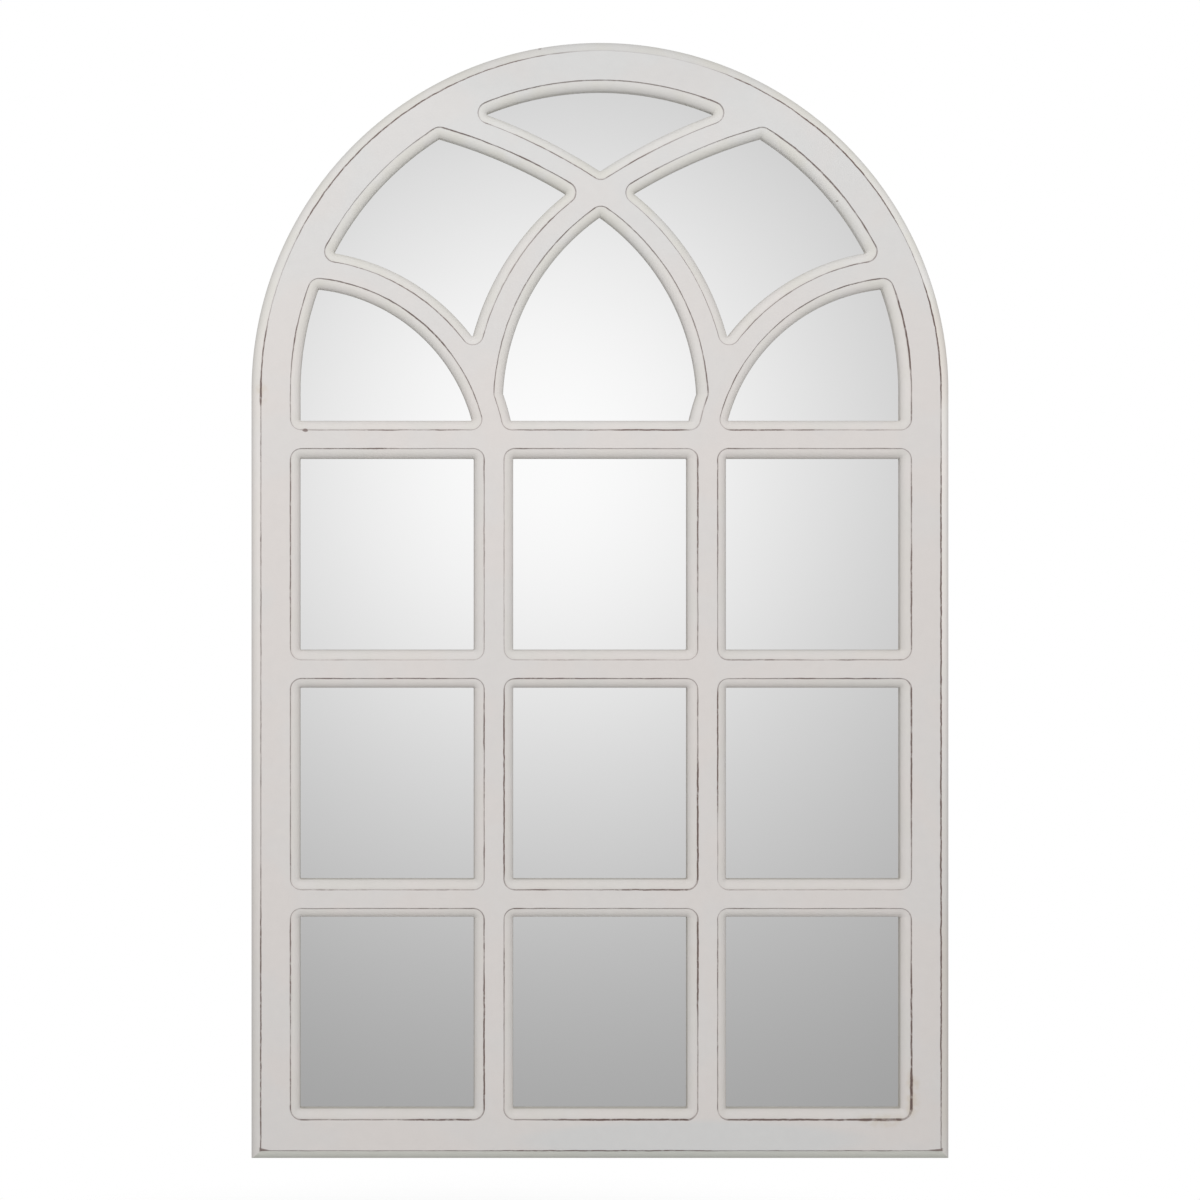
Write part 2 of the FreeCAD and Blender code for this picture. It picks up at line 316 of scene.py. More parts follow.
def runAlong(side, start, end):
    # places from one corner to the next: evenly on a line, or by even angles about a centre
    kind, *numbers = side
    if kind == "straight":
        share = spaced(np.linalg.norm(end - start), panes["straightStep"])[:, None]
        return start + share * (end - start)
    if kind == "arch":
        # counted along the outline from the crown: arc length on the arch, then straight down
        radius = numbers[0] - panes["inset"]
        quarter = radius * math.pi / 2
        ends = []
        for place in (start, end):
            onArch = radius * math.atan2(-place[0], max(place[1] - springHeight, 0.0))
            ends.append(onArch + math.copysign(max(springHeight - place[1], 0.0), -place[0]))
        along = ends[0] + spaced(abs(ends[1] - ends[0]), panes["curveStep"]) * (ends[1] - ends[0])
        turn = np.clip(along, -quarter, quarter) / radius
        below = np.maximum(np.abs(along) - quarter, 0.0)
        return np.stack([-radius * np.sin(turn), springHeight + radius * np.cos(turn) - below], axis=-1)
    centre = np.array(numbers[:2])
    first = math.atan2(*(start - centre)[::-1])
    last = math.atan2(*(end - centre)[::-1])
    sweep = (last - first + math.pi) % (2 * math.pi) - math.pi
    radius = np.linalg.norm(start - centre)
    angles = first + sweep * spaced(abs(sweep) * radius, panes["curveStep"])
    return centre + radius * np.stack([np.cos(angles), np.sin(angles)], axis=-1)


def paneLoop(sides, corners):
    # the pane drawn in by the inset: at a corner the place stays and the direction turns
    count = len(sides)
    exact = [meeting(sides[i - 1], sides[i], corners[i]) for i in range(count)]
    places, ways, turning = [], [], []
    for i, side in enumerate(sides):
        run = runAlong(side, exact[i], exact[(i + 1) % count])
        way = offSide(side, run)[1]
        nextWay = offSide(sides[(i + 1) % count], exact[(i + 1) % count])[1]
        turn = math.atan2(way[-1, 0] * nextWay[1] - way[-1, 1] * nextWay[0], way[-1] @ nextWay)
        angles = turn * np.linspace(0, 1, panes["cornerSteps"] + 2)[1:-1]
        x, z = way[-1]
        cosine, sine = np.cos(angles), np.sin(angles)
        turned = np.stack([x * cosine - z * sine, x * sine + z * cosine], axis=-1)
        places += [run, np.repeat(run[-1:], len(angles), axis=0)]
        ways += [way, turned]
        turning += [np.zeros(len(run)), np.ones(len(angles))]
    return np.concatenate(places), np.concatenate(ways), np.concatenate(turning)


def flipped(sides, corners):
    # the same pane on the other side of the middle line, its sides taken in the opposite order
    turned = []
    for kind, *numbers in sides:
        if kind != "arch":
            numbers = [-numbers[0], *numbers[1:]]
        turned.append((kind, *numbers))
    mirrored = [(-x, z) for x, z in corners]
    return turned[::-1], [mirrored[0]] + mirrored[:0:-1]


def allPanes():
    reach = panes["halfWidth"] - panes["border"]
    column = (2 * reach - 2 * panes["mullion"]) / 3
    row = (panes["sill"] - panes["bottomBorder"] - 3 * panes["rail"]) / 3
    loops = []
    for level in range(3):
        low = panes["bottomBorder"] + level * (row + panes["rail"])
        for place in range(3):
            left = -reach + place * (column + panes["mullion"])
            sides = [
                ("straight", 0, -1, -low),
                ("straight", 1, 0, left + column),
                ("straight", 0, 1, low + row),
                ("straight", -1, 0, -left),
            ]
            corners = [(left, low), (left + column, low), (left + column, low + row), (left, low + row)]
            loops.append((sides, corners))
    sill = ("straight", 0, -1, -panes["sill"])
    arch = ("arch", reach)

    def bar(name, edge, kind, flip=1):
        x, z, radius, flat = panes[name]
        return (kind, x * flip, z, radius + edge * flat / 2)

    eye = ([bar("upperBar", 1, "beyond", -1), arch, bar("upperBar", 1, "beyond")],
           [(0, 990), (170, 1020), (-170, 1020)])
    kite = ([bar("mainBar", 1, "beyond"), bar("upperBar", -1, "within"), arch, bar("sideBar", 1, "beyond")],
            [(-110, 850), (-35, 968), (-190, 1000), (-240, 920)])
    lancet = ([sill, bar("sideBar", 1, "beyond", -1), bar("mainBar", -1, "within", -1),
               bar("mainBar", -1, "within"), bar("sideBar", 1, "beyond")],
              [(-86, 742), (86, 742), (94, 780), (0, 940), (-94, 780)])
    fin = ([sill, bar("sideBar", -1, "within"), arch], [(-299, 742), (-130, 742), (-235, 850)])
    loops += [eye, kite, flipped(*kite), lancet, fin, flipped(*fin)]
    return [paneLoop(*pane) for pane in loops]


def outerLoop():
    # round the board with the direction inwards; the two bottom corners are mitred, and the next
    # places stand clear of the mitres, so that the band doesn't fold over itself
    half, clear, step = panes["halfWidth"], panes["mitreClear"], panes["straightStep"]
    rise = clear + spaced(springHeight - clear, step) * (springHeight - clear)
    left = np.stack([np.full(len(rise), -half), rise], axis=-1)
    angles = math.pi * (1 - spaced(math.pi * half, panes["curveStep"])[1:-1])
    inwards = -np.stack([np.cos(angles), np.sin(angles)], axis=-1)
    over = np.array([0.0, springHeight]) - half * inwards
    right = left[::-1] * np.array([-1.0, 1.0])
    along = (half - clear) * (1 - 2 * spaced(2 * (half - clear), step))
    foot = np.stack([along, np.zeros(len(along))], axis=-1)
    places = np.concatenate([[(-half, 0.0)], left, over, right, [(half, 0.0)], foot])
    ways = np.concatenate([[(1.0, 1.0)], np.tile([1.0, 0.0], (len(left), 1)), inwards,
                           np.tile([-1.0, 0.0], (len(right), 1)), [(-1.0, 1.0)],
                           np.tile([0.0, 1.0], (len(foot), 1))])
    return places, ways, np.zeros(len(places))


# lattice panel

moulding = {
    "front": 27.0,
    "back": 15.0,
    "radius": 9.5,
    "line": 10.0,
    "step": 1.2,
    "easing": [(0.0, 0.35), (0.1, 0.08), (0.35, 0.0), (0.7, 0.0)],  # beyond the line, under the face
    "arcRows": 9,
    "bandEnd": 13.0,
    "lineWander": 0.22,
    "stepWander": 0.25,
    "wanderReach": 0.8,
    "sharpAngle": 38.0,
}


def wander(places, seed):
    # the mean of four sine waves that cross the board in different directions, from -1 to 1
    rng = np.random.default_rng(seed)
    total = np.zeros(len(places))
    for length in (9.0, 17.0, 31.0, 58.0):
        direction = rng.uniform(0, 2 * math.pi)
        wave = places[:, 0] * math.cos(direction) + places[:, 1] * math.sin(direction)
        total += np.sin(2 * math.pi * wave / length + rng.uniform(0, 2 * math.pi))
    return total / 4


def profile():
    # the rows from the back of the wall to the flat: how far out, and how deep under the face
    radius, line, step = moulding["radius"], moulding["line"], moulding["step"]
    thickness = moulding["front"] - moulding["back"]
    angles = np.linspace(0, math.pi / 2, moulding["arcRows"])
    roundOut = radius * (1 - np.cos(angles))
    roundDown = step + radius * (1 - np.sin(angles))
    beyond, under = np.array(moulding["easing"]).T
    out = np.concatenate([[0.0], roundOut, [line], line + beyond, [moulding["bandEnd"]]])
    down = np.concatenate([[thickness], roundDown, [step], under, [0.0]])
    return out, down


def isInside(places, loop):
    # a place is inside when a ray from it crosses the loop an odd number of times
    x, z = places[:, :1], places[:, 1:]
    fromX, fromZ = loop.T
    toX, toZ = np.roll(loop, -1, axis=0).T
    spans = (fromZ > z) != (toZ > z)
    rise = np.where(toZ == fromZ, 1.0, toZ - fromZ)
    crossing = fromX + (z - fromZ) / rise * (toX - fromX)
    return np.sum(spans & (x < crossing), axis=1) % 2 == 1


def makeLattice():
    out, down = profile()
    pastRound = out > 0.9 * moulding["radius"]
    nearLine = np.exp(-((out - moulding["line"]) / moulding["wanderReach"]) ** 2) * pastRound
    inStep = (down > moulding["step"] / 4) & pastRound
    vertices, faces, fromLine, band, turning = [], [], [], [], []
    backLoops, frontLoops = [], []
    start = 0
    loops = [(loop, 1.0, 0.0) for loop in allPanes()] + [(outerLoop(), 0.0, 1.0)]
    for number, ((places, ways, corner), stand, isOuter) in enumerate(loops):
        columns, rows = len(places), len(out)
        # surface = place + direction times (stand + out), at the profile's depth, with a slight wander
        aside = moulding["lineWander"] * wander(places, 10 + number)[None, :] * nearLine[:, None]
        reach = stand + out[:, None] + aside
        flat = places[None] + ways[None] * reach[..., None]
        sag = moulding["stepWander"] * wander(places, 60 + number)[None, :] * inStep[:, None]
        depth = moulding["front"] - (down[:, None] + sag)
        vertices.append(toFrame(flat[..., 0], depth, flat[..., 1]).reshape(-1, 3))
        index = start + np.arange(rows * columns).reshape(rows, columns)
        after = np.roll(index, -1, axis=1)
        faces.append(np.stack([index[:-1], index[1:], after[1:], after[:-1]], axis=-1).reshape(-1, 4))
        fromLine.append(np.repeat(out - moulding["line"], columns))
        band.append(np.full(rows * columns, isOuter))
        turning.append(np.tile(corner, rows))
        backLoops.append(index[0])
        frontLoops.append(index[-1])
        start += rows * columns
    vertices = np.concatenate(vertices)
    polygons = np.concatenate(faces).tolist()
    for loopSet, facing in ((frontLoops, 1), (backLoops, -1)):
        # the flats between the loops are filled with triangles that use the loops' own vertices
        used = np.concatenate(loopSet)
        flat = [Vector((x * 1000, z * 1000)) for x, _, z in vertices[used]]
        edges, base = [], 0
        for loop in loopSet:
            ring = np.arange(len(loop)) + base
            edges += np.stack([ring, np.roll(ring, -1)], axis=-1).tolist()
            base += len(loop)
        _, _, triangles, origins, _, _ = delaunay_2d_cdt(flat, edges, [], 1, 1e-5)
        source = used[np.array([origin[0] for origin in origins])]
        triangles = source[np.array(triangles)][:, ::facing]
        middles = vertices[triangles].mean(axis=1)[:, ::2]
        inPane = np.zeros(len(triangles), bool)
        for loop in loopSet[:-1]:
            inPane |= isInside(middles, vertices[loop][:, ::2])
        polygons += triangles[~inPane].tolist()
    mesh = bpy.data.meshes.new("lattice")
    mesh.from_pydata(vertices.tolist(), [], polygons)
    mesh.validate()
    for name, values in (("fromLine", fromLine), ("outerBand", band), ("turning", turning)):
        mesh.attributes.new(name, "FLOAT", "POINT").data.foreach_set("value", np.concatenate(values))
    mesh.shade_smooth()
    mesh.set_sharp_from_angle(angle=math.radians(moulding["sharpAngle"]))
    lattice = bpy.data.objects.new("lattice", mesh)
    bpy.context.scene.collection.objects.link(lattice)
    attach(lattice, "mirror")
    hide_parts("lattice_panel")
    print("lattice", len(vertices), "vertices", sum(len(p) - 2 for p in polygons), "triangles")
    return lattice


lattice = makeLattice()

# paint

# colours; heights from the hooks over which something grows; places as in the lists of wear. Some of them
# paint light or shade: the bottom band, the wall's foot, the outer moulding's sides, the tracery and the
# crown
paint = {
    "warm": (0.742, 0.702, 0.680),
    "cool": (0.712, 0.708, 0.702),
    "underCoat": (0.700, 0.682, 0.630),
    "bottomBandShade": (0.590, 0.598, 0.545),
    "worn": (0.190, 0.135, 0.120),
    "halo": (0.640, 0.560, 0.450),
    "wallFootShade": (0.330, 0.312, 0.255),
    "patch": 70.0,
    "coolOver": (-60.0, 300.0),
    "thinOver": (-60.0, 200.0),
    "sideLightOver": (-640.0, -60.0),
    "traceryLightOver": (-60.0, 0.0),
    "footShadeOver": (-650.0, 60.0),
    "crownShadeAt": (0, 1110, 200, 70),
    "coolFoot": (90, 20, 190, 22),
}
# wear, listed one by one: across, height from the foot, half width, half height and strength of an ellipse
wear = {
    # the line is rubbed through
    "rubbed": [
        (-97, 370, 8, 120, 0.95),
        (97, 335, 8, 80, 1.0),
        (117, 415, 8, 80, 0.95),
        (97, 665, 8, 60, 0.7),
        (117, 660, 8, 80, 0.6),
        (-311, 620, 8, 90, 0.5),
        (-117, 115, 8, 85, 0.95),
        (97, 200, 8, 60, 0.95),
        (311, 420, 8, 80, 0.8),
        (311, 110, 8, 100, 0.9),
        (-150, 40, 50, 6, 0.8),
        (35, 40, 80, 6, 1.0),
        (215, 40, 110, 6, 0.9),
        (60, 270, 50, 6, 0.7),
        (-60, 482, 60, 6, 0.6),
        (-340, 130, 8, 150, 0.8),
        (340, 380, 8, 400, 1.3),
        (0, 10, 120, 6, 0.8),
        (50, 730.5, 45, 6, 0.9),
        (-40, 730.5, 50, 6, 0.5),
        (155, 730.5, 35, 6, 0.75),
        (305, 830, 22, 50, 0.85),
        (-183, 826, 45, 34, 0.75),
    ],
    # the line is nearly closed
    "faint": [
        (-214, 500, 110, 8, 0.60),
        (0, 500, 110, 8, 0.50),
        (214, 500, 40, 8, 0.30),
        (-97, 610, 8, 120, 0.40),
        (-150, 712, 70, 8, 0.50),
        (30, 712, 90, 8, 0.45),
        (214, 712, 90, 8, 0.40),
        (-214, 270, 110, 8, 0.40),
        (214, 270, 110, 8, 0.45),
        (117, 300, 8, 60, 0.40),
        (-117, 590, 8, 100, 0.30),
        (-222, 972, 62, 78, 0.55),
        (97, 1000, 55, 30, 0.50),
        (92, 752, 14, 28, 0.50),
        (-80, 880, 40, 75, 0.30),
        (265, 730.5, 45, 7, 0.50),
        (-165, 1010, 25, 20, 0.50),
    ],
    # broad rubs with a tan halo
    "broad": [
        (-340, 768, 8, 14, 0.8),
        (311, 66, 10, 26, 1.0),
        (282, 41, 26, 9, 0.9),
    ],
    # single knocks
    "knocks": [
        (-296, 730.5, 2.8, 1.7, 0.85),
        (-61, 1113, 1.8, 1.1, 0.6),
        (237, 960, 1.6, 1.1, 0.6),
    ],
    # creamy stretches of the outer moulding
    "cream": [
        (343, 815, 16, 65, 0.22),
        (345, 130, 8, 130, 0.20),
    ],
    # the outer line round the arch: degrees from the right spring, half span, strength
    "archRubbed": [
        (8, 12, 1.25),
        (35, 6, 0.90),
        (46, 10, 1.15),
        (60, 9, 0.85),
        (109, 7, 0.65),
        (124, 11, 0.95),
        (141, 11, 0.88),
        (175, 7, 0.80),
    ],
    # the same, nearly closed
    "archFaint": [
        (84, 16, 0.60),
        (160, 9, 0.45),
    ],
    # dark wedges in the bottom mitres: across, height, length towards the middle, half height
    "wedges": [
        (-341.0, 10.6, 9.0, 1.9),
        (341.0, 10.6, -14.0, 1.5),
    ],
}


def awayFrom(sheet, place, x, z, wide, high):
    # the distance on the face, measured in half widths and half heights of an ellipse
    moved = sheet.shifted(place, (-x, 0.0, hooksAboveFoot - z))
    return sheet.gap(sheet.stretched(moved, (1 / wide, 0.0, 1 / high)), (0.0, 0.0, 0.0))


def strongest(shares):
    # the largest of several shares at each place
    most = shares[0]
    for share in shares[1:]:
        most = most.maths("MAXIMUM", share)
    return most


def inEllipses(sheet, place, spots):
    # 1 inside the ellipses and 0 outside, times each one's strength
    return strongest([
        (1 - awayFrom(sheet, place, *ellipse).ramp(0.6, 1.1)) * strength for *ellipse, strength in spots
    ])


def inSpans(turn, spans):
    # the same by the angle from the right spring
    return strongest([
        (1 - (turn - middle).maths("ABSOLUTE").ramp(0.6 * half, 1.1 * half)) * strength
        for middle, half, strength in spans
    ])


def soundPaint(sheet, on):
    # colour = warm to cool by height, towards the under coat on the moulding, times the painted light and
    # shade
    place, across, height = on["place"], on["across"], on["height"]
    patches = sheet.noise(place, paint["patch"]).ramp(0.40, 0.60)
    cool = 0.35 * patches + 0.65 * height.ramp(*paint["coolOver"])
    onFoot = 1 - awayFrom(sheet, place, *paint["coolFoot"]).ramp(0.7, 1.1)
    colour = sheet.blend(cool.maths("MAXIMUM", onFoot), paint["warm"], paint["cool"])
    # the moulding holds less of the top coat; the band along the foot, which ends in mitres, faces down and
    # gets painted shade
    thin = on["moulding"] * (0.25 + 0.75 * sheet.noise(place, 34.0).ramp(0.35, 0.65))
    thin = thin * (0.35 + 0.40 * height.ramp(*paint["thinOver"]))
    colour = sheet.blend(thin, colour, paint["underCoat"])
    inMitres = (panes["halfWidth"] - across.maths("ABSOLUTE") - on["aboveFoot"]).ramp(-0.3, 0.3)
    colour = sheet.blend(on["outer"] * on["moulding"] * inMitres * 0.8, colour, paint["bottomBandShade"])
    # painted light and shade: the outer moulding is painted lighter towards the top of its sides, most on
    # the right, the tracery's moulding a little lighter, and the crown painted darker
    aside = across.maths("ABSOLUTE") / panes["halfWidth"]
    sides = aside * aside * (0.12 + 0.14 * across.ramp(-50.0, 50.0)) - 0.03
    sideLight = on["outer"] * height.ramp(*paint["sideLightOver"]) * sides
    paintedLight = on["moulding"] * (sideLight + (1 - on["outer"]) * height.ramp(*paint["traceryLightOver"]) * 0.035)
    crownShade = 1 - awayFrom(sheet, place, *paint["crownShadeAt"]).ramp(0.5, 1.3)
    brushed = 0.965 + 0.05 * on["mottle"] + 0.02 * on["grain"]
    colour = sheet.scaled(colour, (1 + paintedLight - 0.045 * crownShade - 0.025 * onFoot) * brushed)
    cream = inEllipses(sheet, place, wear["cream"]) * on["outer"] * on["moulding"]
    return sheet.blend(cream, colour, paint["halo"])


def wornLine(sheet, on, rubbed):
    # how far the line lies off, and its share: its half width and strength follow noise and the lists
    place = on["place"]
    turn = (on["aboveFoot"] - springHeight).maths("ARCTAN2", on["across"]) * math.degrees(1.0)
    level = strongest([
        sheet.noise(place, 42.0, 3.0, 0.6).ramp(0.42, 0.68) * 0.7,
        inEllipses(sheet, place, wear["rubbed"]),
        inSpans(turn, wear["archRubbed"]) * on["outer"],
        rubbed,
    ])
    closed = inEllipses(sheet, place, wear["faint"]) * (1 - on["outer"])
    closed = closed + inSpans(turn, wear["archFaint"]) * on["outer"]
    broken = sheet.noise(place, 6.0, 3.0, 0.65).ramp(0.34, 0.50)
    stray = (sheet.noise(place, 8.0) - 0.5) * (0.3 + level * 0.9)
    offLine = (on["fromLine"] + 0.2 + stray).maths("ABSOLUTE")
    halfWidth = 0.46 + 0.42 * level + 0.55 * rubbed
    strength = (0.62 + 0.38 * level) * (0.60 + 0.40 * broken) * (1 - 0.35 * on["corner"])
    return offLine, (1 - offLine.ramp(halfWidth * 0.6, halfWidth * 1.15)) * strength * (1 - closed)


def knocksAndWedges(sheet, on):
    # ragged ellipses, and wedges that narrow from the bottom corners towards the middle
    ragged = on["mottle"] - 0.5
    shares = []
    for *ellipse, strength in wear["knocks"]:
        edge = awayFrom(sheet, on["place"], *ellipse) + ragged * 1.6
        shares.append((1 - edge.ramp(0.6, 1.2)) * strength)
    for x, z, long, high in wear["wedges"]:
        along = (on["across"] - x) / long
        inside = (1 - along) * high - (on["aboveFoot"] - z).maths("ABSOLUTE") + ragged * 1.2
        shares.append(inside.ramp(-0.3, 0.5) * along.ramp(-0.15, 0.0) * 0.85)
    return strongest(shares)


def makePaint():
    material, sheet, place = startMaterial("chalkPaint")
    across, _, height = sheet.axes(place)
    fromLine = sheet.attribute("fromLine")
    on = {
        "place": place,
        "across": across,
        "height": height,
        "aboveFoot": height + hooksAboveFoot,
        "fromLine": fromLine,
        "moulding": 1 - fromLine.ramp(-1.6, -0.3),
        "outer": sheet.attribute("outerBand"),
        "corner": sheet.attribute("turning"),
        "mottle": sheet.noise(place, 10.0, 3.0, 0.6),
        "grain": sheet.noise(place, 1.6, 2.0, 0.6),
    }
    rubbed = inEllipses(sheet, place, wear["broad"])
    offLine, worn = wornLine(sheet, on, rubbed)
    worn = strongest([worn, knocksAndWedges(sheet, on)])
    halo = rubbed * (1 - offLine.ramp(1.5, 7.5)) * sheet.noise(place, 9.0).ramp(0.35, 0.65) * 0.5
    colour = sheet.blend(halo, soundPaint(sheet, on), paint["halo"])
    colour = sheet.blend(worn, colour, paint["worn"])
    # the steep foot of the moulding and the wall under it are thinly painted and carry painted shade in the
    # crevice by the glass, darkest low down
    foot = (1 - fromLine.ramp(-9.85, -9.1)) * (1 - on["outer"])
    bareAndShaded = foot * (0.56 - 0.34 * height.ramp(*paint["footShadeOver"]))
    colour = sheet.blend(bareAndShaded, colour, paint["wallFootShade"])
    bumps = 0.10 * on["mottle"] + 0.05 * on["grain"] - 0.20 * worn
    roughness = 0.62 + 0.12 * on["mottle"] + 0.08 * worn
    finishMaterial(sheet, colour, roughness, bumps, Specular_IOR_Level=0.32)
    return material


lattice.data.materials.append(makePaint())
print("paint ready")


def dress(material, *names):
    for name in names:
        slots = nodes[name].data.materials
        slots.clear()
        slots.append(material)


# rim: painted on its outer edge, raw at the back, with the joints of its pieces

rim = {
    "light": (0.52, 0.40, 0.27),
    "dark": (0.44, 0.33, 0.21),
    "width": 38.0,
    "archCut": 30.0,  # degrees from upright
    "seam": (0.12, 0.3),
}


def makeRimFinish():
    material, sheet, place = startMaterial("rimBoard")
    across, toWall, height = sheet.axes(place)
    mottle = sheet.noise(place, 10.0, 3.0, 0.6)
    fibre = sheet.noise(place, 0.9, 3.0, 0.7)
    patches = sheet.noise(place, paint["patch"]).ramp(0.40, 0.60)
    painted = sheet.blend(patches, paint["warm"], paint["cool"])
    painted = sheet.scaled(painted, 0.955 + 0.07 * mottle)
    raw = sheet.scaled(sheet.blend(mottle, rim["light"], rim["dark"]), 0.82 + 0.36 * fibre)
    # paint runs a little over the back arris, as far as the noise lets it
    isBack = (toWall + (mottle - 0.5) * 0.3).ramp(-9.25, -9.12)
    # the joints: the spring line, two cuts across the arch and the ends of the bottom rail
    aside = across.maths("ABSOLUTE")
    aboveFoot = height + hooksAboveFoot
    aboveSpring = aboveFoot - springHeight
    cut = math.radians(rim["archCut"])
    slant = (aside * math.cos(cut) - aboveSpring * math.sin(cut)).maths("ABSOLUTE")
    seam = aboveSpring.maths("ABSOLUTE").ramp(*rim["seam"]).maths("MINIMUM", slant.ramp(*rim["seam"]))
    railEnd = (aside - (panes["halfWidth"] - rim["width"])).maths("ABSOLUTE").ramp(*rim["seam"])
    onStile = aboveFoot.ramp(rim["width"], rim["width"] + 0.5)
    seam = seam.maths("MINIMUM", railEnd.maths("MAXIMUM", onStile))
    raw = sheet.scaled(raw, 0.35 + 0.65 * seam)
    colour = sheet.blend(isBack, painted, raw)
    bumps = 0.10 * mottle + 0.06 * fibre + 0.04 * sheet.noise(place, 5.0, 3.0, 0.6) + 0.1 * seam
    finishMaterial(sheet, colour, 0.68 + 0.15 * isBack, bumps, Specular_IOR_Level=0.3)
    return material


dress(makeRimFinish(), "rim_left_stile", "rim_right_stile", "rim_bottom_rail",
      "rim_arch_left", "rim_arch_crown", "rim_arch_right")
print("rim ready")

# mirror glass, packing card and back board

glass = {"silver": (0.92, 0.92, 0.92), "dust": 0.012}
card = {"light": (0.52, 0.37, 0.22), "dark": (0.44, 0.30, 0.17), "flute": 5.0}
hardboard = {
    "light": (0.285, 0.175, 0.095),
    "dark": (0.175, 0.10, 0.052),
    "fleck": (0.10, 0.06, 0.035),
    "mesh": 1.7,
}


def makeGlassFinish():
    material, sheet, place = startMaterial("silveredGlass")
    cloud = sheet.noise(place, 60.0)
    colour = sheet.scaled(glass["silver"], 0.997 + 0.006 * cloud)
    finishMaterial(sheet, colour, glass["dust"] * cloud.ramp(0.5, 0.8), None, Metallic=1.0)
    return material


def makeCardFinish():
    material, sheet, place = startMaterial("packingCard")
    across, _, _ = sheet.axes(place)
    fibre = sheet.noise(place, 2.5, 3.0, 0.7)
    flutes = (across * (2 * math.pi / card["flute"])).maths("SINE")
    colour = sheet.scaled(sheet.blend(fibre, card["light"], card["dark"]), 0.97 + 0.03 * flutes)
    finishMaterial(sheet, colour, 0.85 + 0.1 * fibre, 0.06 * flutes + 0.03 * fibre, Specular_IOR_Level=0.2)
    return material


def makeHardboardFinish():
    material, sheet, place = startMaterial("hardboard")
    across, toWall, height = sheet.axes(place)
    clouds = sheet.noise(place, 45.0, 3.0)
    fibre = sheet.noise(sheet.stretched(place, (1.0, 1.0, 0.35)), 1.1, 4.0, 0.75)
    flecks = sheet.noise(place, 3.2, 4.0, 0.8).ramp(0.60, 0.72)
    # the screen that the board was pressed on leaves a print: the product of two waves
    wave = 2 * math.pi / hardboard["mesh"]
    screen = (across * wave).maths("SINE") * (height * wave).maths("SINE")
    isBack = toWall.ramp(-6.3, -6.1)
    colour = sheet.blend(clouds * 0.6 + fibre * 0.4, hardboard["light"], hardboard["dark"])
    colour = sheet.blend(flecks * 0.45, colour, hardboard["fleck"])
    colour = sheet.scaled(colour, 1.0 + 0.10 * screen * isBack)
    bumps = 0.12 * screen * isBack + 0.12 * fibre
    finishMaterial(sheet, colour, 0.70 + 0.2 * fibre, bumps, Specular_IOR_Level=0.3)
    return material


dress(makeGlassFinish(), "mirror_glass")
dress(makeCardFinish(), "packing_card")
dress(makeHardboardFinish(), "back_board")
print("glass and boards ready")

# hangers, screws and bumpers

metal = {"zinc": (0.66, 0.66, 0.64), "wire": (0.76, 0.76, 0.75), "screw": (0.70, 0.68, 0.62)}
rubber = {"clean": (0.030, 0.029, 0.028), "dusty": (0.085, 0.080, 0.074)}


def makeMetal(name, base, rough, spread, spangle):
    material, sheet, place = startMaterial(name)
    clouds = sheet.noise(place, spangle, 2.0, 0.6)
    fine = sheet.noise(place, 0.35, 3.0, 0.7)
    colour = sheet.scaled(base, 0.86 + 0.2 * clouds + 0.06 * fine)
    finishMaterial(sheet, colour, rough + spread * clouds, 0.008 * fine + 0.01 * clouds, Metallic=1.0)
    return material


def makeRubber():
    material, sheet, place = startMaterial("bumperRubber")
    dust = sheet.noise(place, 3.0, 3.0, 0.7)
    fine = sheet.noise(place, 0.4, 2.0)
    colour = sheet.blend(dust.ramp(0.5, 0.8), rubber["clean"], rubber["dusty"])
    finishMaterial(sheet, colour, 0.55 + 0.2 * dust, 0.02 * fine, Specular_IOR_Level=0.4)
    return material


screws = {
    "board": {"radius": 1.5, "length": 8.5, "head": 3.0, "height": 1.7, "seat": 6.0},
    "hanger": {"radius": 1.75, "length": 16.0, "head": 3.5, "height": 2.0, "seat": 5.0},
    "line": 327.0,
    "stileHeights": (75.0, 360.0, 645.0),
    "hangerHeights": (723.5, 710.5),
    "archCount": 5,
    "turnSteps": 72,
    "domeRows": 15,
    "point": 2.5,
    # the recess as shares of the head's radius and height, and its slopes in millimetres
    "recess": {"wide": 0.15, "long": 0.62, "deep": 0.62, "hollow": 0.35, "sides": 0.12, "ends": 0.2},
    "sharpAngle": 45.0,
}


def screwShape(facts):
    # turned about its axis, pan head first; the head's top is height times (1 - (r/R)^5)^(1/2.4)
    head, recess = facts["head"], screws["recess"]
    share = np.concatenate([np.linspace(0.0, 0.9, screws["domeRows"]), [0.94, 0.97, 0.99, 1.0]])
    shank, length = facts["radius"], facts["length"]
    radius = np.concatenate([share * head, [head, shank, shank, 0.02]])
    dome = facts["height"] * (1 - share**5) ** (1 / 2.4)
    rise = np.concatenate([dome, [0.0, 0.0, screws["point"] - length, -length]])
    angles = np.linspace(0, 2 * math.pi, screws["turnSteps"], endpoint=False)
    across = radius[:, None] * np.cos(angles)
    up = radius[:, None] * np.sin(angles)
    # the recess: two crossed slots with sloping walls, shallower towards their ends
    wide, long = head * recess["wide"], head * recess["long"]

    def slot(beside, along):
        inWidth = np.clip((wide - np.abs(beside)) / recess["sides"], 0, 1)
        return inWidth * np.clip((long - np.abs(along)) / recess["ends"], 0, 1)

    inDome = (np.arange(len(radius)) < screws["domeRows"])[:, None]
    depth = facts["height"] * recess["deep"] * (1 - recess["hollow"] * (radius[:, None] / long) ** 2)
    high = rise[:, None] - np.maximum(slot(across, up), slot(up, across)) * depth * inDome
    return across, up, high


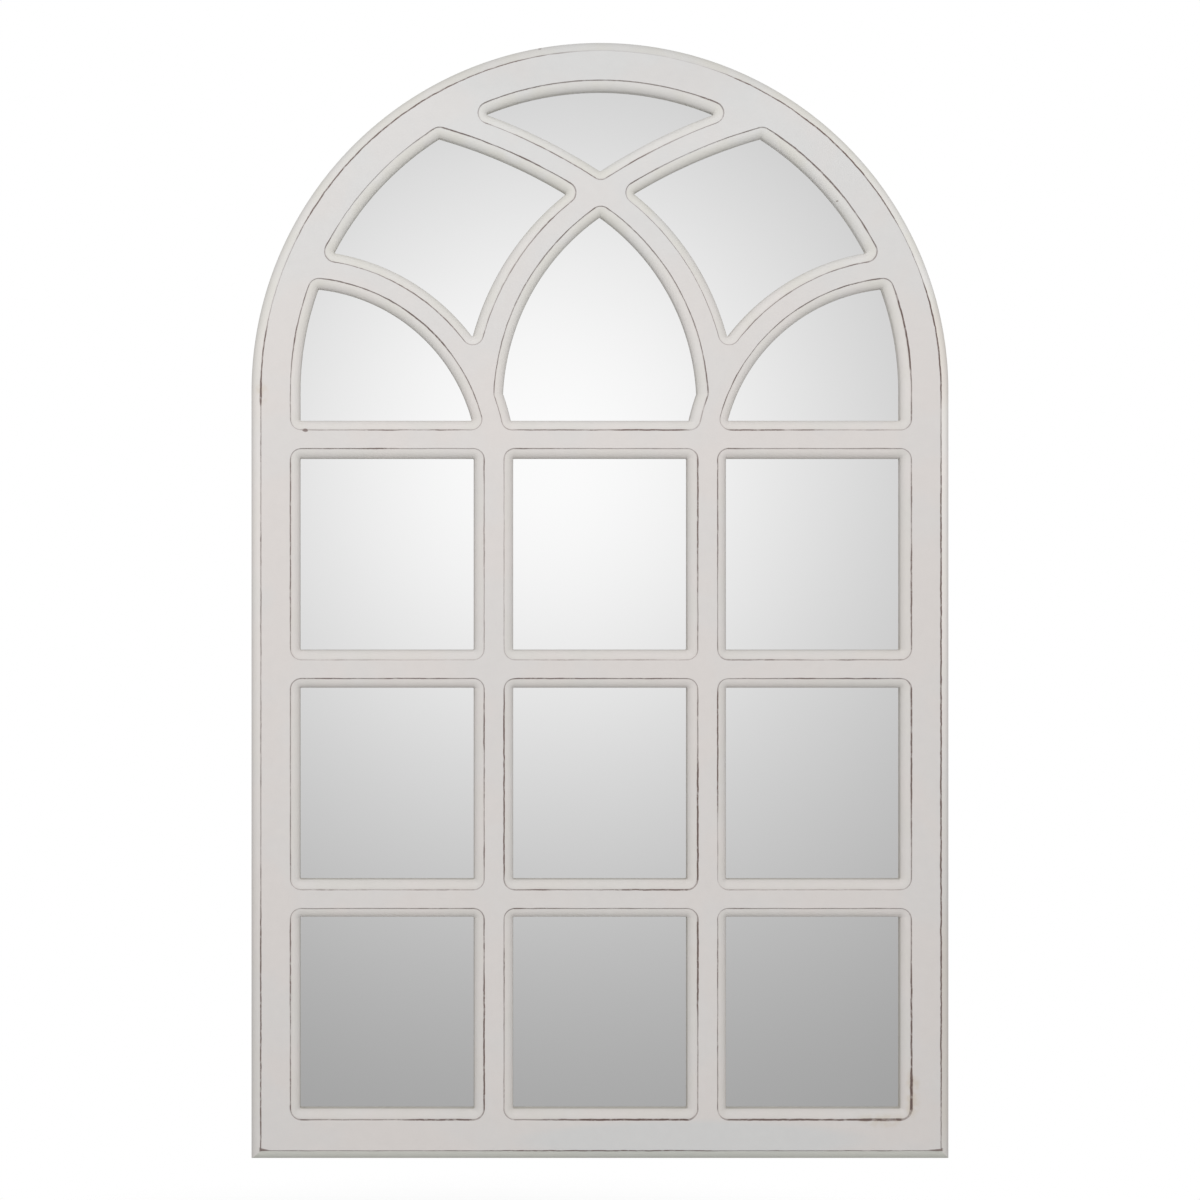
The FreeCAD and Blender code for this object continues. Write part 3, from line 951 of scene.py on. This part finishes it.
def makeScrews(name, facts, places, replaced, seed):
    rng = np.random.default_rng(seed)
    across, up, high = screwShape(facts)
    rows, columns = across.shape
    index = np.arange(rows * columns).reshape(rows, columns)
    after = np.roll(index, -1, axis=1)
    quads = np.stack([index[1:-1], index[2:], after[2:], after[1:-1]], axis=-1).reshape(-1, 4)
    cap = np.stack([np.full(columns, index[0, 0]), index[1], after[1]], axis=-1)
    vertices, faces = [], []
    for x, z in places:
        turn = rng.uniform(0, math.pi / 2)
        u = across * math.cos(turn) - up * math.sin(turn)
        v = across * math.sin(turn) + up * math.cos(turn)
        base = sum(len(v) for v in vertices)
        vertices.append(toFrame(x + u, facts["seat"] - high, z + v).reshape(-1, 3))
        faces += (quads + base).tolist() + (cap + base).tolist()
        faces.append((index[-1] + base).tolist())
    mesh = bpy.data.meshes.new(name)
    mesh.from_pydata(np.concatenate(vertices).tolist(), [], faces)
    mesh.validate()
    mesh.shade_smooth()
    mesh.set_sharp_from_angle(angle=math.radians(screws["sharpAngle"]))
    piece = bpy.data.objects.new(name, mesh)
    bpy.context.scene.collection.objects.link(piece)
    mesh.materials.append(screwMetal)
    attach(piece, "mirror")
    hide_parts(replaced)
    return piece


def boardScrewPlaces():
    # up both stiles, one at the bottom, and the rest evenly round the arch
    line = screws["line"]
    places = [(side * line, height) for height in screws["stileHeights"] for side in (-1, 1)]
    places.append((0.0, panes["halfWidth"] - line))
    for step in range(screws["archCount"]):
        angle = math.pi * (step + 0.5) / screws["archCount"]
        places.append((line * math.cos(angle), springHeight + line * math.sin(angle)))
    return places


screwMetal = makeMetal("zincScrew", metal["screw"], 0.26, 0.16, 4.0)
makeScrews("boardScrews", screws["board"], boardScrewPlaces(), "back_board_screws", 4)
for number, (name, side) in enumerate((("left", -1), ("right", 1))):
    places = [(side * screws["line"], height) for height in screws["hangerHeights"]]
    pieceName = "hangerScrews" + name.capitalize()
    makeScrews(pieceName, screws["hanger"], places, "hanger_screws_" + name, 20 + number)
dress(makeMetal("zincStrap", metal["zinc"], 0.32, 0.22, 5.0), "hanger_strap_left", "hanger_strap_right")
dress(makeMetal("zincWire", metal["wire"], 0.16, 0.14, 3.0), "hanger_ring_left", "hanger_ring_right")
dress(makeRubber(), "bumper_left", "bumper_right")
print("hangers ready")
